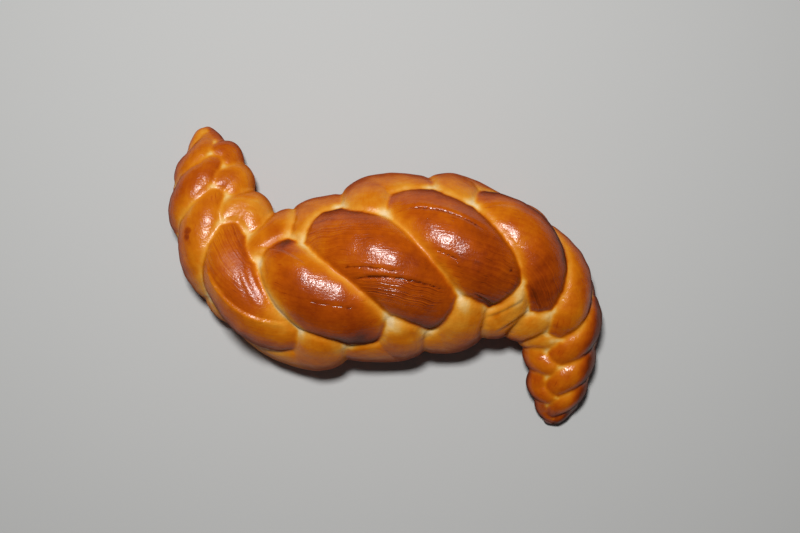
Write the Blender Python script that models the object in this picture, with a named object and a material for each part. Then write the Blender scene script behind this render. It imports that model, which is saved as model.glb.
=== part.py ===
"""Braided loaf.

Four ropes of dough are plaited, bent into a lazy S and baked into one solid.
The loaf lies along X and rests on a flat base at z = 0.  Its left tip turns up
towards +Y and its right tip turns down towards -Y.

The plait is an alternating four-rope braid.  Every rope runs through the same
cycle of four beats, one beat behind its neighbour:
    beat 0  over the middle of the loaf, the big centre lobes
    beat 1  round the near side (-Y), the near side lobes
    beat 2  under the middle, hidden
    beat 3  round the far side (+Y), the far side lobes
All positions are fractions of the local half-width of the loaf, so the lobes
shrink with the loaf towards both tips.
"""

import bpy
import numpy as np

MM = 0.001

# ---------------------------------------------------------------- dimensions
ROPES = 4
LAST_BEAT = 12.9                # braid time at the right tip
FIRST_BEAT = -0.2               # braid time at the left tip
STEP = 0.075                    # braid time between two samples of a rope

# One row for each centre lobe, from the left tip to the right tip.
#   x, y         middle of the loaf, mm
#   half_width   half the width of the loaf there, mm
#   height       how high the dough has risen there, on the same scale
#   roll         degrees the crest of the loaf leans over to the far side
#   near, far    beats the near and far lobes slide along the loaf
STATIONS = (
    # x     y     half  height roll near  far
    (-151,  118,   9.0,  12.0, -30, 0.40, 0.60),
    (-141,   93,  30.0,  31.0, -38, 0.40, 1.00),
    (-136,   66,  41.0,  42.0, -45, 0.40, 1.15),
    (-124,   37,  48.5,  52.0, -46, 0.60, 1.35),
    ( -99,    9,  58.5,  62.0, -34, 0.85, 1.20),
    ( -54,   -8,  72.0,  70.0,  -2, 0.95, 0.80),
    (   2,    6,  79.0,  75.0,   4, 0.85, 0.90),
    (  60,    9,  74.0,  75.0,  12, 0.85, 0.95),
    ( 103,   -1,  58.5,  71.0,  36, 0.75, 1.20),
    ( 131,  -25,  45.5,  55.0,  36, 0.60, 1.00),
    ( 140,  -48,  37.0,  42.0,  38, 0.60, 0.60),
    ( 140,  -75,  31.0,  34.0,  36, 0.50, 0.60),
    ( 140,  -99,  22.5,  24.0,  30, 0.50, 0.60),
    ( 139, -119,   8.0,   9.0,  20, 0.40, 0.40),
)

WRAP = 90.0                     # degrees round the loaf from crest to side lobe
WRAP_SHARPNESS = 0.6            # 0 sways like a sine, 1 crosses in straight lines
AXIS_HEIGHT = 0.26              # height of the loaf's axis
LOWEST = 0.65                   # a rope sinks into the base by the rest of its radius
REACH = 0.535                   # sideways distance of the ropes from the axis
REACH_RISE = 0.09               # extra where a rope rides high
CREST = 0.32                    # height of the ropes over the axis
CREST_RISE = 0.13               # extra where a rope rides high
ROPE_RADIUS = 0.43
ROPE_SWELL = 0.15               # thicker where a rope rides high, thinner below
CORE_HEIGHT = 0.34              # the middle of the loaf is baked solid
CORE_RADIUS = 0.50
# How high a rope rides at every half beat, from 1 (over) to -1 (under).
RIDE = (1.0, -0.5, 0.0, 0.15, -1.0, 0.1, 0.1, -0.45)
RIDE_PLATEAU = 1.35             # above 1 the top of a lobe stays high for longer
SEAM_BLEND = 0.9                # mm, softness of the seams between the ropes

VOXEL = 2.6                     # mm, working resolution
TRIANGLES = 9600                # faces of the finished solid


def spline(rows, t):
    """Natural cubic spline through rows at t = 0, 1, 2 ...; value and slope."""
    count = len(rows)
    matrix = np.eye(count)
    bend = np.zeros_like(rows)
    for i in range(1, count - 1):
        matrix[i, i - 1:i + 2] = (1.0, 4.0, 1.0)
        bend[i] = 6.0 * (rows[i + 1] - 2.0 * rows[i] + rows[i - 1])
    bend = np.linalg.solve(matrix, bend)
    i = np.clip(t.astype(int), 0, count - 2)
    f = (t - i)[:, None]
    g = 1.0 - f
    value = g * rows[i] + f * rows[i + 1]
    value += ((g ** 3 - g) * bend[i] + (f ** 3 - f) * bend[i + 1]) / 6.0
    slope = rows[i + 1] - rows[i]
    slope += ((1.0 - 3.0 * g ** 2) * bend[i] + (3.0 * f ** 2 - 1.0) * bend[i + 1]) / 6.0
    return value, slope


def ride(phase):
    """Height wave of a rope, 1 on top of the loaf and -1 underneath."""
    keys = np.array(RIDE + RIDE[:1])
    phase = np.mod(phase, 4.0) / 0.5
    i = np.clip(phase.astype(int), 0, 7)
    f = phase - i
    f = np.where(i == 0, f ** RIDE_PLATEAU, f)
    f = np.where(i == 7, 1.0 - (1.0 - f) ** RIDE_PLATEAU, f)
    ease = 0.5 - 0.5 * np.cos(np.pi * f)
    return keys[i] * (1.0 - ease) + keys[i + 1] * ease


def sway(phase):
    """Sideways wave of a rope, 1 on the near side and -1 on the far side."""
    wave = np.sin(0.5 * np.pi * phase)
    straight = 2.0 / np.pi * np.arcsin(0.999 * wave)
    return (1.0 - WRAP_SHARPNESS) * wave + WRAP_SHARPNESS * straight


def rope(index):
    """Centres (n, 3) and radii (n,) of the spheres that sweep out one rope, mm."""
    stations = np.array(STATIONS, float)
    t = np.arange(FIRST_BEAT, LAST_BEAT + STEP, STEP)
    side = sway(t - index)
    here, _ = spline(stations, np.clip(t, 0, len(stations) - 1))
    slide = np.where(side > 0, here[:, 5], here[:, 6])
    along = np.clip(t + slide * side, 0, len(stations) - 1)
    row, slope = spline(stations, along)
    half = np.maximum(row[:, 2], 2.5)
    tall = np.maximum(row[:, 3], 2.5)
    heading = slope[:, :2] / np.linalg.norm(slope[:, :2], axis=1)[:, None]
    far = np.stack([-heading[:, 1], heading[:, 0]], 1)
    high = ride(t - index)
    angle = np.radians(row[:, 4] - WRAP * side)
    out = (REACH + REACH_RISE * high) * half * np.sin(angle)
    up = AXIS_HEIGHT * tall + (CREST + CREST_RISE * high) * tall * np.cos(angle)
    radius = ROPE_RADIUS * half * (1.0 + ROPE_SWELL * high)
    centre = np.column_stack([row[:, :2] + far * out[:, None], np.maximum(up, LOWEST * radius)])
    return centre, radius


def core():
    """Spheres that fill the middle of the loaf from end to end."""
    stations = np.array(STATIONS, float)
    row, _ = spline(stations, np.arange(0.0, len(stations) - 1 + STEP / 2, STEP))
    return np.column_stack([row[:, :2], CORE_HEIGHT * row[:, 3]]), CORE_RADIUS * row[:, 2]


def ball(centres, radii):
    """Closed mesh of many overlapping balls, one per centre."""
    rings, sides = 7, 12
    lat = np.pi * np.arange(1, rings) / rings
    lon = 2.0 * np.pi * np.arange(sides) / sides
    lat, lon = [a.ravel() for a in np.meshgrid(lat, lon, indexing="ij")]
    unit = np.stack([np.sin(lat) * np.cos(lon), np.sin(lat) * np.sin(lon), np.cos(lat)], 1)
    unit = np.concatenate([unit, [[0, 0, 1], [0, 0, -1]]])
    top, bottom = len(unit) - 2, len(unit) - 1
    faces = []
    for j in range(sides):
        k = (j + 1) % sides
        faces.append((top, j, k))
        last = (rings - 2) * sides
        faces.append((bottom, last + k, last + j))
        for i in range(rings - 2):
            a, b = i * sides + j, i * sides + k
            faces.append((a, a + sides, b + sides))
            faces.append((a, b + sides, b))
    faces = np.array(faces)
    verts = centres[:, None, :] + unit[None] * radii[:, None, None]
    shift = np.arange(len(centres))[:, None, None] * len(unit)
    return verts.reshape(-1, 3), (faces[None] + shift).reshape(-1, 3)


def depth(points, balls):
    """Signed distance to the dough: the ropes blended softly at their seams."""
    per_rope = []
    for centres, radii in balls:
        gap = np.linalg.norm(points[:, None, :] - centres[None], axis=2) - radii[None]
        per_rope.append(gap.min(axis=1))
    gaps = np.array(per_rope)
    least = gaps.min(axis=0)
    return least - SEAM_BLEND * np.log(np.exp(-(gaps - least) / SEAM_BLEND).sum(axis=0))


def settle(points, balls):
    """Move the points onto the true dough surface."""
    for _ in range(3):
        for start in range(0, len(points), 4000):
            block = points[start:start + 4000]
            here = depth(block, balls)
            slope = np.empty_like(block)
            for axis in range(3):
                nudge = np.zeros(3)
                nudge[axis] = 0.05
                slope[:, axis] = (depth(block + nudge, balls) - here) / 0.05
            size = np.maximum((slope ** 2).sum(axis=1), 0.25)
            points[start:start + 4000] = block - slope * (here / size)[:, None]
    return points


def mesh_object(name, verts, faces):
    mesh = bpy.data.meshes.new(name)
    mesh.from_pydata(verts.tolist(), [], faces.tolist())
    obj = bpy.data.objects.new(name, mesh)
    bpy.context.scene.collection.objects.link(obj)
    return obj


def baked(obj):
    """Vertices and triangles of an object with its modifiers carried out."""
    bpy.context.view_layer.update()
    graph = bpy.context.evaluated_depsgraph_get()
    mesh = obj.evaluated_get(graph).to_mesh()
    mesh.calc_loop_triangles()
    verts = np.empty(len(mesh.vertices) * 3)
    mesh.vertices.foreach_get("co", verts)
    faces = np.empty(len(mesh.loop_triangles) * 3, int)
    mesh.loop_triangles.foreach_get("vertices", faces)
    bpy.data.objects.remove(obj)
    return verts.reshape(-1, 3), faces.reshape(-1, 3)


for old in list(bpy.data.objects):
    bpy.data.objects.remove(old)

# The ropes and the core, merged into one skin.
balls = [rope(index) for index in range(ROPES)]
balls.append(core())
parts = [ball(centres[::2], radii[::2]) for centres, radii in balls]
verts, faces, offset = [], [], 0
for part_verts, part_faces in parts:
    verts.append(part_verts)
    faces.append(part_faces + offset)
    offset += len(part_verts)
rough = mesh_object("rough", np.concatenate(verts), np.concatenate(faces))
skin = rough.modifiers.new("skin", "REMESH")
skin.mode = "VOXEL"
skin.voxel_size = VOXEL
verts, faces = baked(rough)
verts = settle(verts, balls)

# The base bakes flat on the tray.
verts[:, 2] = np.maximum(verts[:, 2], 0.0)

# Fewer faces: large on the base, small along the seams.
fine = mesh_object("fine", verts, faces)
thin = fine.modifiers.new("thin", "DECIMATE")
thin.ratio = TRIANGLES / len(faces)
verts, faces = baked(fine)
verts[:, 2] = np.where(verts[:, 2] < 0.15, 0.0, verts[:, 2])
middle = 0.5 * (verts.min(axis=0) + verts.max(axis=0))
verts -= (middle[0], middle[1], 0.0)

loaf = mesh_object("loaf", verts * MM, faces)

crust = bpy.data.materials.new("golden crust")
crust.use_nodes = True
shader = crust.node_tree.nodes["Principled BSDF"]
shader.inputs["Base Color"].default_value = (0.33, 0.10, 0.008, 1.0)
shader.inputs["Roughness"].default_value = 0.35
shader.inputs["Metallic"].default_value = 0.0
loaf.data.materials.append(crust)
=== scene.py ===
"""Looks of the braided loaf: its fine shape, baked crust, floor, light and camera."""

import bpy
import numpy as np
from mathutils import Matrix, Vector, kdtree, noise


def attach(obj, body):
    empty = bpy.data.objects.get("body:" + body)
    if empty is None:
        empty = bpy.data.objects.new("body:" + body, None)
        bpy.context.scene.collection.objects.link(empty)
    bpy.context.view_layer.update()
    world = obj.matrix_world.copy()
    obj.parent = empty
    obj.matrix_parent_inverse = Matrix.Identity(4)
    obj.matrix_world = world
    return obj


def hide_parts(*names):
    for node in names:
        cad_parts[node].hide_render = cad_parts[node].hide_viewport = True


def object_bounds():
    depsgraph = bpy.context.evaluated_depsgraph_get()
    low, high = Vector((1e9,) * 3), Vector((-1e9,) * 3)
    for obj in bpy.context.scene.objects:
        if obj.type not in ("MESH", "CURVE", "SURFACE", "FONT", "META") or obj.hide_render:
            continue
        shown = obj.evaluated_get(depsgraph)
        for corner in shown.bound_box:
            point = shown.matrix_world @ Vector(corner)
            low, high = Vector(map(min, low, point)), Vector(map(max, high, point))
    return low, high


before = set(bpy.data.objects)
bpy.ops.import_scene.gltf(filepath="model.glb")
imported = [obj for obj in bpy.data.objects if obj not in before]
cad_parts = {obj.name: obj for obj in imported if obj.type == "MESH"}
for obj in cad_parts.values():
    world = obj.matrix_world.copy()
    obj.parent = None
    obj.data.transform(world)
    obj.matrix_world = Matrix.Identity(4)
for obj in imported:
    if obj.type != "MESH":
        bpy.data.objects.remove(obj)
cad_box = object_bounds()

MM = 0.001

# ---------------------------------------------------------------- the plait
# The same braid as the solid's: four ropes, each one beat behind its neighbour,
# over the middle (beat 0), near side (1), under (2) and far side (3).
ROPES = 4
FIRST_BEAT = -0.2
LAST_BEAT = 12.9
STEP = 0.075                    # beats from one ball of a rope to the next
BALL_STRIDE = 2                 # every second ball is enough for the first rough skin
# x, y, half-width and height in mm, roll in degrees, slide of the near and far
# lobes in beats, and how brown the centre lobe there is baked, from 0 to 1
STATIONS = (
    # x     y     half  height roll near  far   brown
    (-151,  118,   9.0,  12.0, -30, 0.40, 0.60, 0.35),
    (-141,   93,  30.0,  31.0, -38, 0.40, 1.00, 0.60),
    (-136,   66,  41.0,  42.0, -45, 0.40, 1.15, 0.62),
    (-124,   37,  48.5,  52.0, -46, 0.60, 1.35, 0.52),
    ( -99,    9,  58.5,  62.0, -34, 0.85, 1.20, 0.62),
    ( -54,   -8,  72.0,  70.0,  -2, 0.95, 0.80, 0.76),
    (   2,    6,  79.0,  75.0,   4, 0.85, 0.90, 0.74),
    (  60,    9,  74.0,  75.0,  12, 0.85, 0.95, 0.76),
    ( 103,   -1,  58.5,  71.0,  36, 0.75, 1.20, 0.80),
    ( 131,  -25,  45.5,  55.0,  36, 0.60, 1.00, 0.58),
    ( 140,  -48,  37.0,  42.0,  38, 0.60, 0.60, 0.60),
    ( 140,  -75,  31.0,  34.0,  36, 0.50, 0.60, 0.64),
    ( 140,  -99,  22.5,  24.0,  30, 0.50, 0.60, 0.60),
    ( 139, -119,   8.0,   9.0,  20, 0.40, 0.40, 0.85),
)
HALF, HEIGHT, ROLL, NEAR_SLIDE, FAR_SLIDE, BROWN = range(2, 8)      # columns above
THINNEST = 2.5                  # mm, least half-width and height at the tips
# Shares of the half-width or height at each station, unless a unit is given
WRAP = 90.0                     # degrees from the crest to where a rope is widest out
WRAP_SHARPNESS = 0.6            # 0 for a sine wave from side to side, 1 for a zigzag
AXIS_HEIGHT = 0.26
LOWEST = 0.65                   # least height of a rope's centre, in its own radii
REACH = 0.535                   # how far out a rope goes, and how much more on top
REACH_RISE = 0.09
CREST = 0.32                    # how far up it goes, and how much more on top
CREST_RISE = 0.13
ROPE_RADIUS = 0.43
ROPE_SWELL = 0.15               # how much thicker a rope is on top of the loaf
CORE_HEIGHT = 0.34              # the balls that fill the middle
CORE_RADIUS = 0.50

# How high a rope rides, every half beat: 1 on top of the loaf, -1 underneath
RIDE = (1.0, -0.5, 0.0, 0.15, -1.0, 0.1, 0.1, -0.45)
RIDE_PLATEAU = 1.35             # how long a rope stays on top
SEAM_BLEND = 1.4                # mm, softness of the seams
VOXEL = 1.5                      # mm, of the skin
LEAST_AGREEMENT = 0.35          # of a face with its neighbours, or it counts as folded
UNFOLD_ROUNDS = 20

# Folds where the skin of a rope wrinkled: plan of the start, middle and end in mm,
# depth of the groove, width of the combed dough on its near side, darkness of the
# line, painted shade in the fold (below 0 it is golden, with a painted highlight along
# the lip), and how far the near side stands proud, in mm.
FOLDS = (
    # start        middle         end          depth comb   dark  ledge
    (( -34,   5), ( -14,   7), (  14,   3), 0.5,  0.0,  0.8, 0.0),
    (( -24,  -3), (   8,  -1), (  50, -12), 0.9, 24.0,  1.0, 0.0),
    ((  14,  52), (  47,  50), (  80,  34), 0.8,  0.0,  0.8, 0.0),
    ((  38,  21), (  47,  17), (  58,  12), 0.5,  0.0,  0.7, 0.0),
    ((  68, -13), (  77, -18), (  86, -24), 0.6,  0.0,  0.9, 0.0),
    ((  72,  50), ( 100,  55), ( 130,  36), 0.6,  0.0,  0.2, 0.5),
    ((-101,  19), ( -84,  21), ( -56,   6), 0.3,  0.0, -0.3, 2.0),
    (( -58, -19), ( -40, -22), ( -22, -25), 0.4,  0.0,  0.7, 0.0),
    ((-139,   9), (-116, -24), ( -74, -37), 0.2,  0.0, -1.0, 1.8),
    ((-129,  57), (-116,  62), ( -98,  58), 0.3,  0.0, -0.6, 0.6),
    ((-126,  49), (-114,  54), (-100,  50), 0.2,  0.0, -0.5, 0.4),
    ((-108,  12), (-103,  -5), ( -94, -20), 0.9,  0.0,  0.3, 0.0),
    ((-115,   7), (-109, -10), (-101, -24), 0.8,  0.0,  0.2, 0.0),
    ((  80, -33), (  95, -27), ( 110, -18), 1.4,  0.0,  0.2, 0.0),
    ((  88, -45), ( 101, -37), ( 113, -28), 1.2,  0.0,  0.2, 0.0),
)
# Lobes whose skin is combed into fine lines: beat, phase in the plait, strength
COMBED = (
    (3.65, -0.35, 0.8),
    (5.65, -0.35, 0.6),
    (7.30,  0.30, 0.4),
    (8.40,  0.40, 0.6),
    (5.00,  1.00, 0.5),
    (6.00,  1.00, 0.4),
)
# Soft spots where the crust is browner, paler or duller than the rules below make it,
# placed by comparing the render with the photo: x, y and radius in mm, browning added,
# and gloss lost, from 0 to 1.  Most change the dough's own colour; a few are painted
# light and shade, such as a painted shadow in a fold and a painted highlight, marked below.
UNEVEN_CRUST_AND_LIGHT = (
    (-163,  56, 14, -0.14, 0.0),
    (-144,  62, 12,  0.06, 0.0),
    (-142,  43, 10,  0.08, 0.0),
    (-124,  -8, 14, -0.08, 0.0),
    (-122,  76, 14,  0.08, 0.4),
    (-121,  12, 17,  0.03, 0.6),
    (-115,  52, 12,  0.04, 0.5),
    (-105,  20,  9,  0.16, 0.0),
    (-104, -28, 14, -0.10, 0.0),
    ( -95,   0, 10,  0.07, 0.3),
    ( -93,  54, 10, -0.11, 0.0),
    ( -88,  37,  6,  0.08, 0.0),
    ( -84, -27, 11, -0.18, 0.0),
    ( -84,  27, 12,  0.15, 0.0),
    ( -78, -45, 10, -0.12, 0.0),
    ( -56,  14, 10, -0.10, 0.0),
    ( -32,  43, 20, -0.06, 0.0),
    ( -13, -31,  8, -0.12, 0.0),
    (  -4, -42,  8, -0.25, 0.0),
    (  17,  71,  9, -0.14, 0.0),
    (  34,  -6, 18, -0.05, 0.0),
    (  34,  22, 20,  0.05, 0.0),
    (  58, -16,  9, -0.04, 0.0),
    (  60, -36,  8, -0.14, 0.0),
    (  69,  68, 13, -0.07, 0.0),
    # painted shadow in the fold of the right armpit
    (  84, -26,  7,  0.16, 0.0),
    (  96,  56, 14, -0.16, 0.0),
    ( 100, -30, 12, -0.10, 0.0),
    ( 101,  11,  6, -0.09, 0.0),
    ( 112,  32, 18, -0.18, 0.0),
    ( 114, -14,  7,  0.12, 0.0),
    ( 124, -81,  8,  0.10, 0.0),
    ( 148, -80, 14, -0.12, 0.0),
    # painted highlight on the outer flank of the right arm
    ( 160, -39, 11, -0.18, 0.0),
)
# Spots where a bubble under the skin burnt dark: x, y and radius in mm
BLISTERS = (
    (-156, 36, 3.6),
    (-157, 31, 2.8),
    ( -28,  7, 1.4),
    (  97,  5, 1.4),
)
BLISTER_DENT = 0.25             # mm
FOLDS_ABOVE = 20.0              # mm, lowest place of a fold or a burnt spot
# Gentle unevenness of the dough: height and width in mm, and seed
BUMPS = ((1.1, 38.0, 1), (0.45, 13.0, 2))
SEAM_DEPTH = 1.5                # mm, of the fine valley in a seam of full-size ropes
SEAM_WIDTH = 2.8                # mm

# ---------------------------------------------------------------- the crust's colours
FULL_SIZE = 75.0                # mm, half-width of the loaf where its ropes are full size
FAR_OFF = 99.0                  # mm, stands for no seam near
PALE_BAND = 8.0                 # mm, pale dough beside a seam of full-size ropes
SWAP_BAND = 5.0                 # mm, and how much wider it is at the swapped seam
GOLDEN_BAND = (14.0, 10.0)      # mm, golden dough beyond it, and more if it was covered
TWIST = 24.0                    # degrees the dough's grain winds round its rope
GRAIN_ROUNDS = 14               # how much the grain is evened out
ROPE_SHIFT = 300.0              # mm between the patterns of two ropes

# Parts of the loaf: where a change from one to the next begins and ends, in beats
LEFT_TIP_END = (0.6, 1.2)
BARE_ARM_START = (2.0, 3.0)     # the left arm's lobes with golden tails
LEFT_ARM_END = (4.0, 5.0)
SWAP_START = (3.95, 4.2)        # the seam after the left arm's last centre lobe
SWAP_END = (4.95, 5.1)
RIGHT_HALF = (5.6, 6.6)
RIGHT_ARM_START = (8.6, 9.6)
FAR_SIDE = (0.2, 0.6)           # phase, less than zero, where the far side begins

# Browning runs from 0, pale dough, to 1, burnt; the same level also carries painted shade
# and painted highlights, marked below.  Level of the side lobes, how far they follow the
# centre lobe beside them, and what is added to the level and where:
SIDE_BROWN = 0.46
SIDE_FOLLOWS = 0.25
HEAD = -0.10                    # head of a centre lobe, on the far side
HEAD_TO_TAIL = 0.22             # and more from there to its tail
GOLDEN = -0.22                  # golden side of a centre lobe
ARM = 0.11                      # left arm
BARE = -0.10                    # tails of its lobes
FAR_TIP = 0.20                  # far lobes at the left tip
FAR_ARM = -0.10                 # far lobes of the left arm
OUTWARD = 0.52                  # outer flank of the right arm
RIGHT_ARM = 0.06                # its side lobes
RIGHT_TIP = 0.12                # and those at its tip
STEEP_SHADE = 0.34                    # painted shade on the steep sides, which are dark in the photo's light
STEEP_SHADE_ARM = -0.16               # but less on the left arm
LOW_DOWN_BROWN_AND_SHADE = 0.10                 # close to the tray: partly browning against the hot tray, partly painted shade
FOLD_GOLD_AND_GLINT = -0.22               # golden side of a fold, with a painted highlight along its lip
COVERED = 0.58                  # share of the level lost where another rope lay on it
IN_SEAM = 0.12                  # and right in a seam
MIRROR = 0.5                    # specular level of the egg wash
MIRROR_LOST = 0.46              # and what steep sides and bare dough lack of it
CRUST_COLOURS = (
    (0.00, (0.84, 0.62, 0.34)),
    (0.14, (0.79, 0.46, 0.13)),
    (0.32, (0.73, 0.29, 0.022)),
    (0.50, (0.63, 0.172, 0.003)),
    (0.70, (0.45, 0.078, 0.001)),
    (0.88, (0.28, 0.037, 0.001)),
    (1.00, (0.13, 0.018, 0.001)),
)

# ---------------------------------------------------------------- the studio, in m
FLOOR_SIZE = 14.0               # so that its edges stay far off in low views
FLOOR_GAP = 0.0003              # below the base, which would flicker on it
FLOOR_COLOUR = (0.54, 0.54, 0.53, 1)
KEY_PLACE = (-0.10, 0.40, 1.25)
KEY_TARGET = (0, 0, 0.03)
KEY_SIZE = (0.24, 0.18)
KEY_POWER = 16.2
FILL_LIGHT = 0.035
CAMERA_PLACE = (0.012, 0.0076, 0.929)


def spline(rows, t):
    """Natural cubic spline through rows at t = 0, 1, 2 ...; value and slope."""
    count = len(rows)
    matrix = np.eye(count)
    bend = np.zeros_like(rows)
    for i in range(1, count - 1):
        matrix[i, i - 1:i + 2] = (1.0, 4.0, 1.0)
        bend[i] = 6.0 * (rows[i + 1] - 2.0 * rows[i] + rows[i - 1])
    bend = np.linalg.solve(matrix, bend)
    i = np.clip(t.astype(int), 0, count - 2)
    f = (t - i)[:, None]
    g = 1.0 - f
    value = g * rows[i] + f * rows[i + 1]
    value += ((g ** 3 - g) * bend[i] + (f ** 3 - f) * bend[i + 1]) / 6.0
    slope = rows[i + 1] - rows[i]
    slope += ((1.0 - 3.0 * g ** 2) * bend[i] + (3.0 * f ** 2 - 1.0) * bend[i + 1]) / 6.0
    return value, slope


def smooth(low, high, value):
    """Soft step from 0 at low to 1 at high."""
    x = np.clip((value - low) / (high - low), 0.0, 1.0)
    return x * x * (3.0 - 2.0 * x)


def ride(phase):
    """Height wave of a rope, 1 on top of the loaf and -1 underneath."""
    keys = np.array(RIDE + RIDE[:1])
    last = len(RIDE) - 1
    phase = np.mod(phase, 4.0) / 0.5
    i = np.clip(phase.astype(int), 0, last)
    f = phase - i
    f = np.where(i == 0, f ** RIDE_PLATEAU, f)
    f = np.where(i == last, 1.0 - (1.0 - f) ** RIDE_PLATEAU, f)
    ease = 0.5 - 0.5 * np.cos(np.pi * f)
    return keys[i] * (1.0 - ease) + keys[i + 1] * ease


def sway(phase):
    """Sideways wave of a rope, 1 on the near side and -1 on the far side."""
    wave = np.sin(0.5 * np.pi * phase)
    straight = 2.0 / np.pi * np.arcsin(0.999 * wave)
    return (1.0 - WRAP_SHARPNESS) * wave + WRAP_SHARPNESS * straight


def rope(index):
    """One rope: beats, centres and radii of the balls that sweep it out, mm."""
    stations = np.array(STATIONS, float)
    t = np.arange(FIRST_BEAT, LAST_BEAT + STEP, STEP)
    side = sway(t - index)
    here, _ = spline(stations, np.clip(t, 0, len(stations) - 1))
    slide = np.where(side > 0, here[:, NEAR_SLIDE], here[:, FAR_SLIDE])
    along = np.clip(t + slide * side, 0, len(stations) - 1)
    row, slope = spline(stations, along)
    half = np.maximum(row[:, HALF], THINNEST)
    tall = np.maximum(row[:, HEIGHT], THINNEST)
    heading = slope[:, :2] / np.linalg.norm(slope[:, :2], axis=1)[:, None]
    far = np.stack([-heading[:, 1], heading[:, 0]], 1)
    high = ride(t - index)
    angle = np.radians(row[:, ROLL] - WRAP * side)
    out = (REACH + REACH_RISE * high) * half * np.sin(angle)
    up = AXIS_HEIGHT * tall + (CREST + CREST_RISE * high) * tall * np.cos(angle)
    radius = ROPE_RADIUS * half * (1.0 + ROPE_SWELL * high)
    plan = row[:, :2] + far * out[:, None]
    return t, np.column_stack([plan, np.maximum(up, LOWEST * radius)]), radius


def core():
    """The balls that fill the middle of the loaf from end to end, as in rope()."""
    stations = np.array(STATIONS, float)
    t = np.arange(0.0, len(stations) - 1 + STEP / 2, STEP)
    row, _ = spline(stations, t)
    centre = np.column_stack([row[:, :2], CORE_HEIGHT * row[:, HEIGHT]])
    return t, centre, CORE_RADIUS * row[:, HALF]


def ball_mesh(centres, radii):
    """Closed mesh of many overlapping balls, one per centre."""
    rings, sides = 7, 12        # of one ball
    lat = np.pi * np.arange(1, rings) / rings
    lon = 2.0 * np.pi * np.arange(sides) / sides
    lat, lon = [a.ravel() for a in np.meshgrid(lat, lon, indexing="ij")]
    unit = np.stack([np.sin(lat) * np.cos(lon), np.sin(lat) * np.sin(lon), np.cos(lat)], 1)
    unit = np.concatenate([unit, [[0, 0, 1], [0, 0, -1]]])
    top, bottom = len(unit) - 2, len(unit) - 1
    faces = []
    for j in range(sides):
        k = (j + 1) % sides
        faces.append((top, j, k))
        last = (rings - 2) * sides
        faces.append((bottom, last + k, last + j))
        for i in range(rings - 2):
            a, b = i * sides + j, i * sides + k
            faces.append((a, a + sides, b + sides))
            faces.append((a, b + sides, b))
    faces = np.array(faces)
    verts = centres[:, None, :] + unit[None] * radii[:, None, None]
    shift = np.arange(len(centres))[:, None, None] * len(unit)
    return verts.reshape(-1, 3), (faces[None] + shift).reshape(-1, 3)


def nearest(points, line):
    """Distance of each point to one rope, the beat there, and the way out of the rope."""
    t, centres, radii = line
    best = np.empty(len(points), int)
    at_once = 20000             # points, to keep the table of distances small
    steepest = 0.9              # growth of a radius per mm of rope
    for start in range(0, len(points), at_once):
        block = points[start:start + at_once].astype(np.float32)
        square = (block ** 2).sum(1)[:, None] + (centres ** 2).sum(1)[None].astype(np.float32)
        square -= 2.0 * block @ centres.T.astype(np.float32)
        gap = np.sqrt(np.maximum(square, 0)) - radii[None].astype(np.float32)
        best[start:start + at_once] = gap.argmin(axis=1)
    gap = np.full(len(points), 1e9)
    beat = np.zeros(len(points))
    way = np.zeros_like(points)
    for step in (-1, 0):        # the cone before the nearest ball, and the one after
        a = np.clip(best + step, 0, len(t) - 2)
        b = a + 1
        d = centres[b] - centres[a]
        length = np.maximum(np.linalg.norm(d, axis=1), 1e-6)
        rel = points - centres[a]
        s = (rel * d).sum(1) / length ** 2
        aside = np.linalg.norm(rel - d * s[:, None], axis=1)
        grow = np.clip((radii[b] - radii[a]) / length, -steepest, steepest)
        s = np.clip(s + grow * aside / length / np.sqrt(1 - grow ** 2), 0, 1)
        out = points - centres[a] - d * s[:, None]
        size = np.maximum(np.linalg.norm(out, axis=1), 1e-6)
        here = size - radii[a] - (radii[b] - radii[a]) * s
        closer = here < gap
        gap = np.where(closer, here, gap)
        beat = np.where(closer, t[a] + s * (t[b] - t[a]), beat)
        way = np.where(closer[:, None], out / size[:, None], way)
    return gap, beat, way


def survey(points, lines):
    """All ropes at once: gaps, beats and ways out, each with one row per rope."""
    found = [nearest(points, line) for line in lines]
    return [np.array(part) for part in zip(*found)]


def settle(points, lines, rounds=3):
    """Move the points onto the dough's surface, the ropes blended at their seams."""
    for _ in range(rounds):
        gaps, _, ways = survey(points, lines)
        least = gaps.min(axis=0)
        share = np.exp(-(gaps - least) / SEAM_BLEND)
        total = share.sum(axis=0)
        depth = least - SEAM_BLEND * np.log(total)
        slope = (ways * (share / total)[..., None]).sum(axis=0)
        steep = np.maximum((slope ** 2).sum(axis=1), 0.2)       # no wild steps in clefts
        points = points - slope * (depth / steep)[:, None]
    return points


def mesh_object(name, verts, faces):
    """A new object in the scene with this mesh."""
    mesh = bpy.data.meshes.new(name)
    mesh.from_pydata(verts.tolist(), [], faces)
    obj = bpy.data.objects.new(name, mesh)
    bpy.context.scene.collection.objects.link(obj)
    return obj


def evaluated(obj):
    """Vertices and faces of an object with its modifiers carried out."""
    bpy.context.view_layer.update()
    mesh = obj.evaluated_get(bpy.context.evaluated_depsgraph_get()).to_mesh()
    verts = np.empty(len(mesh.vertices) * 3)
    mesh.vertices.foreach_get("co", verts)
    faces = [tuple(face.vertices) for face in mesh.polygons]
    bpy.data.objects.remove(obj)
    return verts.reshape(-1, 3), faces


def remeshed(verts, faces, voxel):
    """The outer skin of overlapping closed meshes."""
    rough = mesh_object("rough", verts, faces.tolist())
    skin = rough.modifiers.new("skin", "REMESH")
    skin.mode = "VOXEL"
    skin.voxel_size = voxel
    return evaluated(rough)


def base_joined(verts, faces):
    """The same mesh with the flat base as a few large faces."""
    whole = mesh_object("whole", verts, faces)
    join = whole.modifiers.new("join", "DECIMATE")
    join.decimate_type = "DISSOLVE"
    join.angle_limit = 1e-4
    return evaluated(whole)


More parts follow.
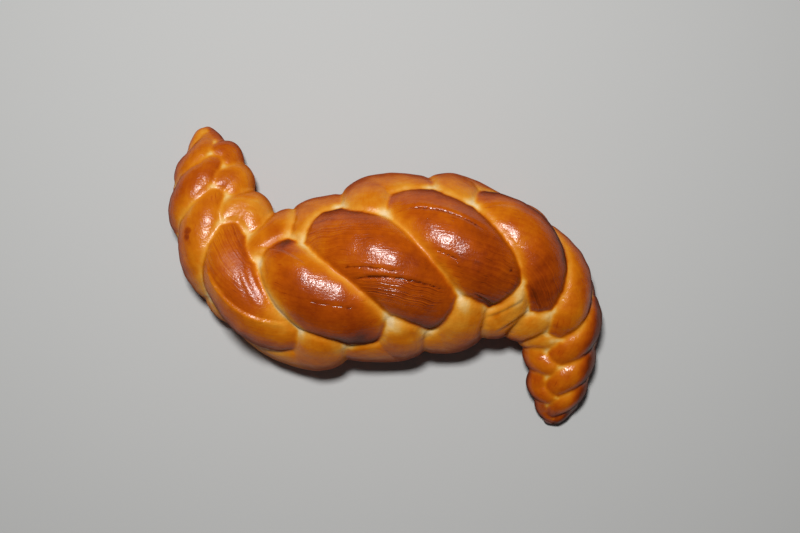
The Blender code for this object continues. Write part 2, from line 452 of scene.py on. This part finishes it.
def links_of(faces):
    """Pairs of neighbouring vertices, each pair both ways round; not the base's faces."""
    small = [face for face in faces if len(face) < 5]
    pairs = np.array([edge for face in small for edge in zip(face, face[1:] + face[:1])])
    return np.concatenate([pairs, pairs[:, ::-1]])


def soften(values, rounds, pairs):
    """Blend each vertex's value with its neighbours' values."""
    count = np.bincount(pairs[:, 0], minlength=len(values)) + 1
    for _ in range(rounds):
        values = (np.bincount(pairs[:, 0], values[pairs[:, 1]], len(values)) + values) / count
    return values


def unfolded(points, faces, pairs):
    """The points with the few faces that fold over their neighbours smoothed out."""
    small = [face for face in faces if len(face) < 5]
    quads = np.array([face if len(face) > 3 else face + face[:1] for face in small])
    points = points.copy()
    for _ in range(UNFOLD_ROUNDS):
        a, b, c, d = [points[quads[:, k]] for k in range(4)]
        out = np.cross(c - a, d - b)
        total = np.zeros_like(points)
        for k in range(4):
            np.add.at(total, quads[:, k], out)
        total /= np.maximum(np.linalg.norm(total, axis=1), 1e-9)[:, None]
        out /= np.maximum(np.linalg.norm(out, axis=1), 1e-9)[:, None]
        agree = (total[quads] * out[:, None]).sum(axis=2).min(axis=1)
        folded = np.zeros(len(points), bool)
        folded[quads[agree < LEAST_AGREEMENT]] = True
        if not folded.any():
            break
        folded[pairs[folded[pairs[:, 0]], 1]] = True
        calm = np.stack([soften(points[:, k], 2, pairs) for k in range(3)], 1)
        points[folded] = calm[folded]
    return points


def speckle(points, size, seed):
    """Smooth noise from about -1 to 1 with features of the given size in mm."""
    shift = Vector((seed * 17.3, seed * 5.1, seed * 9.7))
    return np.array([noise.noise(Vector(point) / size + shift) for point in points])


lines = [rope(index) for index in range(ROPES)]
lines.append(core())
verts, faces, offset = [], [], 0
for _, centres, radii in lines:
    part_verts, part_faces = ball_mesh(centres[::BALL_STRIDE], radii[::BALL_STRIDE])
    verts.append(part_verts)
    faces.append(part_faces + offset)
    offset += len(part_verts)
verts, faces = remeshed(np.concatenate(verts), np.concatenate(faces), VOXEL)
verts = settle(verts, lines)
verts = unfolded(verts, faces, links_of(faces))
verts[:, 2] = np.maximum(verts[:, 2], 0.0)
verts, faces = base_joined(verts, faces)
low = verts.min(axis=0)
high = verts.max(axis=0)
box_middle = np.array([(cad_box[0][i] + cad_box[1][i]) / 2 for i in range(2)]) / MM
centring = np.append(box_middle - 0.5 * (low[:2] + high[:2]), 0.0)

# ---------------------------------------------------------------- place on the ropes
# For every vertex: the rope it belongs to, the beat there, how far the rope's skin faces
# up, and the phase in the plait: 0 on top, 1 on the near side, -1 on the far side.
gaps, beats, ways = survey(verts, lines[:ROPES])
own = gaps.argmin(axis=0)
pick = np.arange(len(verts))
beat = beats[own, pick]
facing_up = ways[own, pick][:, 2]
phase = np.mod(beat - own + 2.0, 4.0) - 2.0
crown = np.maximum(np.cos(0.5 * np.pi * phase), 0.0)
local = spline(np.array(STATIONS, float), np.clip(beat, 0, len(STATIONS) - 1))[0]
size = np.clip(local[:, HALF] / FULL_SIZE, 0.2, 1.0)
edges = links_of(faces)
within_rope = edges[own[edges[:, 0]] == own[edges[:, 1]]]


def unwound(index):
    """Distance along and around its rope in mm, for the vertices of one rope."""
    t, centres, radii = lines[index]
    at = beat[own == index]
    travelled = np.append(0.0, np.cumsum(np.linalg.norm(np.diff(centres, axis=0), axis=1)))
    tangent = np.gradient(centres, axis=0)
    heading = np.stack([np.interp(at, t, tangent[:, i]) for i in range(3)], 1)
    heading /= np.linalg.norm(heading, axis=1)[:, None]
    upward = np.array([0.0, 0.0, 1.0]) - heading * heading[:, 2:]
    upward /= np.linalg.norm(upward, axis=1)[:, None]
    nearward = np.cross(heading, upward)
    way = ways[index, own == index]
    turn = np.arctan2((way * nearward).sum(axis=1), (way * upward).sum(axis=1))
    return np.interp(at, t, travelled), turn * np.interp(at, t, radii)


along = np.zeros(len(verts))
around = np.zeros(len(verts))
for index in range(ROPES):
    along[own == index], around[own == index] = unwound(index)
along = soften(along, GRAIN_ROUNDS, within_rope)
around = soften(around, GRAIN_ROUNDS, within_rope)


def distance_to(spots, points):
    """Distance of each point to the nearest spot, and which spot that is."""
    if len(spots) == 0:
        return np.full(len(points), FAR_OFF), np.zeros(len(points), int)
    tree = kdtree.KDTree(len(spots))
    for index, spot in enumerate(spots):
        tree.insert(spot, index)
    tree.balance()
    found = [tree.find(point) for point in points]
    return np.array([hit[2] for hit in found]), np.array([hit[1] for hit in found])


# ---------------------------------------------------------------- seams
# A seam is where an edge of the mesh crosses from one rope, here, to another, there.
# The lower rope at a seam was covered while the dough rose, and stayed pale:
#   centre against side lobe    the side lobe
#   centre against centre       the earlier one in the left half, the later one in the
#                               right half, and the later one from SWAP_START to SWAP_END
#   side against side           the earlier on the far side, the later on the near side
def switch(value):
    """0 below zero and 1 above it, with a soft change."""
    return smooth(-0.15, 0.15, value)


here, there = edges[own[edges[:, 0]] != own[edges[:, 1]]].T
ahead = phase[here] - phase[there]
beat_here = beat[here]
both_high = smooth(0.55, 0.80, np.minimum(crown[here], crown[there]))
both_low = smooth(0.55, 0.80, 1.0 - np.maximum(crown[here], crown[there]))
right_half = smooth(*RIGHT_HALF, beat_here)
centre_lap = switch((1.0 - 2.0 * right_half) * ahead)
side_lap = switch(-ahead * np.sign(phase[here]))
lapped = smooth(-0.05, 0.35, crown[there] - crown[here])
lapped += (centre_lap - lapped) * both_high + (side_lap - lapped) * both_low
seam_beat = 0.5 * (beat_here + beat[there])
swap = both_high * smooth(*SWAP_START, seam_beat) * (1.0 - smooth(*SWAP_END, seam_beat))
lapped += swap * (switch(-ahead) - lapped)

# Not every covered side is as pale: duller at the tails, low down, and along the
# centre seams and far lobes of the right half.
dull = 1.0 - 0.4 * smooth(0.3, 0.7, phase[here])
dull *= 0.4 + 0.6 * smooth(8.0, 36.0, verts[here, 2])
dull *= 1.0 - 0.8 * both_high * right_half * smooth(-0.1, 0.4, phase[here])
dull *= 1.0 - 0.35 * both_high * smooth(5.7, 6.1, beat_here)
body_right = smooth(6.0, 6.6, beat_here) * (1.0 - smooth(7.4, 7.8, beat_here))
dull *= 1.0 - 0.3 * body_right * smooth(*FAR_SIDE, -phase[here])

seam_middle = 0.5 * (verts[here] + verts[there])
edge_gap = np.full(len(verts), FAR_OFF)
pale, cream, golden, second, centre_second = [np.zeros(len(verts)) for _ in range(5)]
for index in range(ROPES):
    mine = np.flatnonzero(own == index)
    gaps_here, centre_gaps = [], []
    for neighbour in range(ROPES):
        if neighbour == index:
            continue
        seam = (own[here] == index) & (own[there] == neighbour)
        gap, hit = distance_to(seam_middle[seam], verts[mine])
        gaps_here.append(gap)
        by_centre = seam & (crown[there] > 0.5)
        centre_gaps.append(distance_to(seam_middle[by_centre], verts[mine])[0])
        if not seam.any():
            continue
        covered = lapped[seam][hit]
        swapped = swap[seam][hit]
        hit_beat = beat_here[seam][hit]
        width = (PALE_BAND + SWAP_BAND * swapped) * size[mine]
        fade = covered * np.clip((1.0 + 0.5 * swapped) * (1.0 - gap / width), 0.0, 1.0)
        cream[mine] = np.maximum(cream[mine], fade)
        pale[mine] = np.maximum(pale[mine], fade * dull[seam][hit])
        wider = covered * (1.0 - smooth(4.9, 5.2, hit_beat))
        reach = (GOLDEN_BAND[0] + GOLDEN_BAND[1] * wider) * size[mine]
        tone = np.maximum(covered, 0.7 - 0.7 * smooth(5.1, 5.6, hit_beat))
        fade = tone * both_high[seam][hit] * np.maximum(1.0 - gap / reach, 0.0)
        golden[mine] = np.maximum(golden[mine], fade)
    gaps_here = np.sort(gaps_here, axis=0)
    edge_gap[mine] = gaps_here[0]
    second[mine] = gaps_here[1] / size[mine]
    centre_second[mine] = np.sort(centre_gaps, axis=0)[1] / size[mine]

# Cream: dough that was hardly baked, where three ropes meet, and on the near lobes
# where they come out between two centre lobes.
left_arm = 1.0 - smooth(*LEFT_ARM_END, beat)
junction = (1.0 - smooth(2.0, 12.0, second)) * smooth(4.0, 16.0, verts[:, 2])
shelter = 1.0 - smooth(0.25, 0.75, crown)
shelter *= (1.0 - smooth(2.0, 18.0, centre_second)) * smooth(0.2, 0.6, phase)
shelter *= smooth(28.0, 40.0, verts[:, 2]) * (1.0 - left_arm)
cream = soften(cream, 2, edges) * junction
cream = np.maximum(cream, 0.85 * soften(shelter, 6, edges))
pale = np.maximum(soften(pale, 2, edges) * (1.0 - 0.35 * left_arm), cream)

# ---------------------------------------------------------------- browning, with painted shade and highlights
brown = local[:, BROWN]
side_brown = SIDE_BROWN + SIDE_FOLLOWS * (brown - 0.6)
top_lobe = smooth(0.25 + 0.2 * left_arm, 0.75 + 0.2 * left_arm, crown)
bare_arm = left_arm * smooth(*BARE_ARM_START, beat)
top_lobe *= 1.0 - bare_arm * smooth(0.05, 0.45, phase)
side_lobe = 1.0 - top_lobe
off_tip = smooth(*LEFT_TIP_END, beat)
tip = off_tip - smooth(2.2, 3.2, beat)
right_arm = smooth(*RIGHT_ARM_START, beat)
right_tip = smooth(9.4, 10.4, beat)
outward = smooth(0.35, 0.95, (verts[:, 0] - local[:, 0]) / local[:, HALF])
steep = 1.0 - smooth(0.1, 0.75, facing_up)
low_down = 1.0 - smooth(4.0, 22.0, verts[:, 2])
far_side = smooth(*FAR_SIDE, -phase)

bake_and_painted_light = side_brown + (brown - side_brown) * top_lobe
bake_and_painted_light += (HEAD + HEAD_TO_TAIL * smooth(-0.6, 0.5, phase)) * top_lobe
bake_and_painted_light += GOLDEN * soften(golden, 4, edges)
bake_and_painted_light += ARM * left_arm * off_tip + OUTWARD * outward * right_arm
bake_and_painted_light += (FAR_TIP * tip + FAR_ARM * left_arm) * far_side * side_lobe
bake_and_painted_light += (RIGHT_ARM * right_arm + RIGHT_TIP * right_tip) * side_lobe
bake_and_painted_light += BARE * bare_arm * smooth(0.3, 0.8, phase)
# Painted shade: steep sides darker, less so on the left arm
bake_and_painted_light += (STEEP_SHADE + STEEP_SHADE_ARM * left_arm) * steep * (1.0 - pale)
# Low down: partly browning against the hot tray, partly painted shade
bake_and_painted_light += LOW_DOWN_BROWN_AND_SHADE * low_down
bake_and_painted_light = soften(bake_and_painted_light, 2, edges) * (1.0 - COVERED * pale ** 1.5) * (1.0 - cream)
bake_and_painted_light *= 1.0 - IN_SEAM * (1.0 - smooth(0.0, 2.5, edge_gap))
matte = np.maximum(np.maximum(0.9 * pale, steep), 0.28 * left_arm)

# ---------------------------------------------------------------- folds and unevenness
verts = verts + centring
on_top = verts[:, 2] > FOLDS_ABOVE


def fold_distance(points, fold):
    """Plan distance in mm to a fold, positive on its left, and how it tapers at its ends."""
    start, middle, end = [np.array(p, float) for p in fold[:3]]
    control = 2.0 * middle - 0.5 * (start + end)
    t = np.linspace(0.0, 1.0, 25)[:, None]
    line = (1 - t) ** 2 * start + 2 * t * (1 - t) * control + t ** 2 * end
    away = np.full(len(points), 1e9)
    signed = np.zeros(len(points))
    share = np.zeros(len(points))
    for k in range(len(line) - 1):
        d = line[k + 1] - line[k]
        rel = points[:, :2] - line[k]
        s = np.clip((rel @ d) / (d @ d), 0, 1)
        gap = np.linalg.norm(rel - s[:, None] * d, axis=1)
        closer = gap < away
        away = np.where(closer, gap, away)
        left = np.sign(d[0] * rel[:, 1] - d[1] * rel[:, 0])
        signed = np.where(closer, gap * left, signed)
        share = np.where(closer, (k + s) / (len(line) - 1), share)
    return signed, 1.0 - (2.0 * share - 1.0) ** 6


def bell(value, middle, width):
    """1 at the middle, falling off softly to both sides."""
    return np.exp(-((value - middle) / width) ** 2)


combed = np.zeros(len(verts))
for comb_beat, comb_phase, strength in COMBED:
    near_it = bell(beat, comb_beat, 0.40) * bell(phase, comb_phase, 0.40)
    combed = np.maximum(combed, strength * near_it)
push = np.zeros(len(verts))                     # mm outwards
crease = np.full(len(verts), 30.0)              # mm to the nearest dark line of painted shade in a fold
fold_gold_and_glint = np.zeros(len(verts))
for fold in FOLDS:
    depth, comb, dark, ledge = fold[3:]
    black, gold = max(dark, 0.0), max(-dark, 0.0)
    signed, taper = fold_distance(verts, fold)
    taper = np.where(on_top, taper, 0.0)
    beside = np.abs(signed) + 1.3 * (1.0 - black * taper) + np.where(on_top, 0.0, 30.0)
    crease = np.minimum(crease, beside)
    groove = (0.3 + 0.7 * black) * bell(signed, 0.0, 1.3)
    push += depth * taper * (0.5 * bell(signed, 2.6, 2.2) - groove)
    if comb > 0.0:
        near_side = smooth(-comb, -0.6 * comb, signed) * (1.0 - smooth(-1.0, 0.5, signed))
        combed = np.maximum(combed, near_side * taper)
    before = 1.0 - smooth(-0.8, 0.8, signed)
    push += ledge * taper * before * np.exp(np.minimum(signed, 0.0) / 9.0)
    # A golden band of stretched dough on the near side, and a painted highlight along the lip
    glow = 0.75 * before * np.exp(np.minimum(signed, 0.0) / 18.0)
    glow = np.maximum(bell(signed, -0.6, 1.5), glow)
    fold_gold_and_glint = np.maximum(fold_gold_and_glint, gold * taper * glow)
bake_and_painted_light += FOLD_GOLD_AND_GLINT * fold_gold_and_glint

burnt = np.zeros(len(verts))
ragged = 1.0 + 0.35 * speckle(verts, 3.5, 4)
for x, y, radius in BLISTERS:
    away = ragged * np.linalg.norm(verts[:, :2] - (x, y), axis=1)
    spot = 1.0 - smooth(0.5 * radius, 1.1 * radius, away)
    burnt = np.maximum(burnt, np.where(on_top, spot, 0.0))
    push -= BLISTER_DENT * spot

for x, y, radius, browned_and_painted_light, dried in UNEVEN_CRUST_AND_LIGHT:
    spot = np.exp(-((verts[:, 0] - x) ** 2 + (verts[:, 1] - y) ** 2) / radius ** 2)
    bake_and_painted_light += browned_and_painted_light * spot
    matte = np.maximum(matte, dried * spot)

# Steep sides mirror less: this floor is pale, and would grey them, where the table in
# the photo is dark.
turned_away = 1.0 - smooth(0.35, 0.8, facing_up)
mirror = MIRROR - MIRROR_LOST * np.maximum(turned_away, smooth(0.3, 0.9, matte))

for rise, width, seed in BUMPS:
    push += rise * speckle(verts, width, seed)
push -= SEAM_DEPTH * size * bell(edge_gap, 0.0, SEAM_WIDTH)
push *= smooth(0.0, 8.0, verts[:, 2])

loaf = mesh_object("crusty_loaf", verts * MM, faces)
loaf.data.shade_smooth()
normals = np.empty(len(verts) * 3)
loaf.data.vertices.foreach_get("normal", normals)
verts += normals.reshape(-1, 3) * push[:, None]
verts = unfolded(verts, faces, edges)
verts[:, 2] = np.maximum(verts[:, 2], 0.0)
loaf.data.vertices.foreach_set("co", (verts * MM).ravel())
loaf.data.update()

# What the crust's material reads at each vertex
painted = {"bake_and_painted_light": bake_and_painted_light, "matte": matte, "mirror": mirror, "seam": edge_gap, "crease": crease,
           "combed": combed, "burnt": burnt, "crinkled": left_arm}
for name, values in painted.items():
    layer = loaf.data.attributes.new(name, "FLOAT", "POINT")
    layer.data.foreach_set("value", values.astype(np.float32))
twist = np.radians(TWIST)
grain = np.column_stack([along * np.cos(twist) - around * np.sin(twist),
                         along * np.sin(twist) + around * np.cos(twist) + ROPE_SHIFT * own,
                         np.zeros(len(verts))])
layer = loaf.data.attributes.new("grain", "FLOAT_VECTOR", "POINT")
layer.data.foreach_set("vector", grain.astype(np.float32).ravel())

# ---------------------------------------------------------------- material
crust = bpy.data.materials.new("crust")
crust.use_nodes = True
nodes = crust.node_tree.nodes
links = crust.node_tree.links
shader = nodes["Principled BSDF"]


def feed(socket, value):
    """Connect a socket, or set a plain value."""
    if isinstance(value, bpy.types.NodeSocket):
        links.new(value, socket)
    else:
        socket.default_value = value


def attribute(name, output="Fac"):
    """A value that the mesh carries at its vertices."""
    node = nodes.new("ShaderNodeAttribute")
    node.attribute_name = name
    return node.outputs[output]


def calc(operation, a, b):
    """What a Math node makes of two values."""
    node = nodes.new("ShaderNodeMath")
    node.operation = operation
    for socket, value in zip(node.inputs, (a, b)):
        feed(socket, value)
    return node.outputs[0]


def times(value, *others):
    """The product of all the values."""
    for other in others:
        value = calc("MULTIPLY", value, other)
    return value


def added(value, pattern, amount):
    """The value with some of a pattern added."""
    return calc("ADD", value, times(pattern, amount))


def about_zero(pattern):
    """A pattern that runs from 0 to 1, moved to run from -0.5 to 0.5."""
    return calc("SUBTRACT", pattern, 0.5)


def spread(value, low, high, to_low=0.0, to_high=1.0):
    """Map a value from one range to another with a soft step."""
    node = nodes.new("ShaderNodeMapRange")
    node.interpolation_type = "SMOOTHSTEP"
    for socket, number in zip(node.inputs, (value, low, high, to_low, to_high)):
        feed(socket, number)
    return node.outputs[0]


def drawn_out(along, around):
    """The grain's coordinates, scaled to so many features per mm along and around."""
    node = nodes.new("ShaderNodeVectorMath")
    node.operation = "MULTIPLY"
    feed(node.inputs[0], grain_way)
    node.inputs[1].default_value = (along, around, 1.0)
    return node.outputs[0]


def noisy(vector, scale=1.0, detail=1.0, roughness=0.5):
    """Cloudy noise from 0 to 1."""
    node = nodes.new("ShaderNodeTexNoise")
    feed(node.inputs["Vector"], vector)
    node.inputs["Scale"].default_value = scale
    node.inputs["Detail"].default_value = detail
    node.inputs["Roughness"].default_value = roughness
    return node.outputs["Fac"]


def cells(vector):
    """Distance to the nearest of scattered points, and three random numbers for it."""
    node = nodes.new("ShaderNodeTexVoronoi")
    feed(node.inputs["Vector"], vector)
    node.voronoi_dimensions = "2D"
    node.inputs["Scale"].default_value = 1.0
    split = nodes.new("ShaderNodeSeparateColor")
    links.new(node.outputs["Color"], split.inputs[0])
    return node.outputs["Distance"], split.outputs


def ramp(value, stops):
    """Colours for a value that runs from 0 to 1."""
    node = nodes.new("ShaderNodeValToRGB")
    feed(node.inputs[0], value)
    band = node.color_ramp.elements
    while len(band) < len(stops):
        band.new(0.5)
    for element, (position, colour) in zip(band, stops):
        element.position = position
        element.color = (*colour, 1.0)
    return node.outputs[0]


place = nodes.new("ShaderNodeTexCoord").outputs["Object"]       # in m
grain_way = attribute("grain", "Vector")                        # in mm
bake_and_painted_light_level = attribute("bake_and_painted_light")
clear_of_seam = spread(attribute("seam"), 1.0, 5.0)
combed_level = times(attribute("combed"), clear_of_seam)

# Patchy browning, streaked along the ropes.
patches = about_zero(noisy(place, scale=28.0, detail=3.0, roughness=0.55))
mottle = noisy(place, scale=160.0, detail=3.0, roughness=0.6)
streaks = times(about_zero(noisy(drawn_out(along=0.012, around=0.42))), clear_of_seam)
comb_lines = times(about_zero(noisy(drawn_out(along=0.010, around=1.05))), combed_level)
level = added(bake_and_painted_light_level, patches, 0.42)
level = added(level, about_zero(mottle), 0.24)
level = added(level, streaks, 0.09)
level = added(level, comb_lines, 0.60)

# Small dark flecks drawn out along the ropes, and dark lines of painted shade in the folds.
fleck_gap, chance = cells(drawn_out(along=0.075, around=0.42))
wanted = added(chance[0], combed_level, 0.40)
fleck_size = added(0.05, chance[1], 0.22)
fleck = times(spread(fleck_gap, 0.03, fleck_size, 1.0, 0.0), spread(wanted, 0.66, 0.80),
              spread(bake_and_painted_light_level, 0.40, 0.66), clear_of_seam)
fold_shade_line = times(spread(attribute("crease"), 0.25, 1.3, 1.0, 0.0),
                  spread(mottle, 0.25, 0.55, 0.45, 1.0))
dark = calc("MAXIMUM", times(fleck, 0.5), fold_shade_line)
dark = calc("MAXIMUM", dark, attribute("burnt"))
level = added(level, dark, 0.24)
links.new(ramp(level, CRUST_COLOURS), shader.inputs["Base Color"])

# The egg wash dried to a shiny, finely wrinkled skin; the pale seams are matte.
gloss = added(spread(attribute("matte"), 0.1, 0.9, 0.22, 0.58), about_zero(mottle), 0.12)
links.new(gloss, shader.inputs["Roughness"])
links.new(attribute("mirror"), shader.inputs["Specular IOR Level"])
shader.inputs["IOR"].default_value = 1.43

# Heights in mm
wrinkles = noisy(place, scale=520.0, detail=2.0, roughness=0.55)
pits = noisy(place, scale=1300.0)
height = times(wrinkles, added(0.24, attribute("crinkled"), 0.05))
height = added(height, pits, 0.06)
height = added(height, streaks, 0.12)
height = added(height, comb_lines, 0.75)
height = added(height, fold_shade_line, -0.5)
height = added(height, fleck, -0.04)
bump = nodes.new("ShaderNodeBump")
bump.inputs["Distance"].default_value = MM
links.new(height, bump.inputs["Height"])
links.new(bump.outputs[0], shader.inputs["Normal"])
loaf.data.materials.append(crust)

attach(loaf, "root")
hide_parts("loaf")

# ---------------------------------------------------------------- floor
bpy.ops.mesh.primitive_plane_add(size=FLOOR_SIZE, location=(0, 0, -FLOOR_GAP))
floor = bpy.context.object
floor.name = "floor"
paper = bpy.data.materials.new("floor_paper")
paper.use_nodes = True
paper_shader = paper.node_tree.nodes["Principled BSDF"]
paper_shader.inputs["Base Color"].default_value = FLOOR_COLOUR
paper_shader.inputs["Roughness"].default_value = 0.9
floor.data.materials.append(paper)

# ---------------------------------------------------------------- light
key_data = bpy.data.lights.new("key", "AREA")
key_data.shape = "RECTANGLE"
key_data.size, key_data.size_y = KEY_SIZE
key_data.energy = KEY_POWER
key = bpy.data.objects.new("key", key_data)
bpy.context.scene.collection.objects.link(key)
key.location = KEY_PLACE
aim = Vector(KEY_TARGET) - Vector(KEY_PLACE)
key.rotation_euler = aim.to_track_quat("-Z", "Y").to_euler()

world = bpy.data.worlds.new("studio")
world.use_nodes = True
world.node_tree.nodes["Background"].inputs["Color"].default_value = (1, 1, 1, 1)
world.node_tree.nodes["Background"].inputs["Strength"].default_value = FILL_LIGHT
bpy.context.scene.world = world
bpy.context.scene.view_settings.view_transform = "Standard"

# ---------------------------------------------------------------- camera
camera_data = bpy.data.cameras.new("camera")
camera_data.sensor_width = 36.0
camera_data.lens = 50.0
camera = bpy.data.objects.new("camera", camera_data)
bpy.context.scene.collection.objects.link(camera)
camera.location = CAMERA_PLACE
camera.rotation_euler = (0, 0, 0)               # straight down
bpy.context.scene.camera = camera
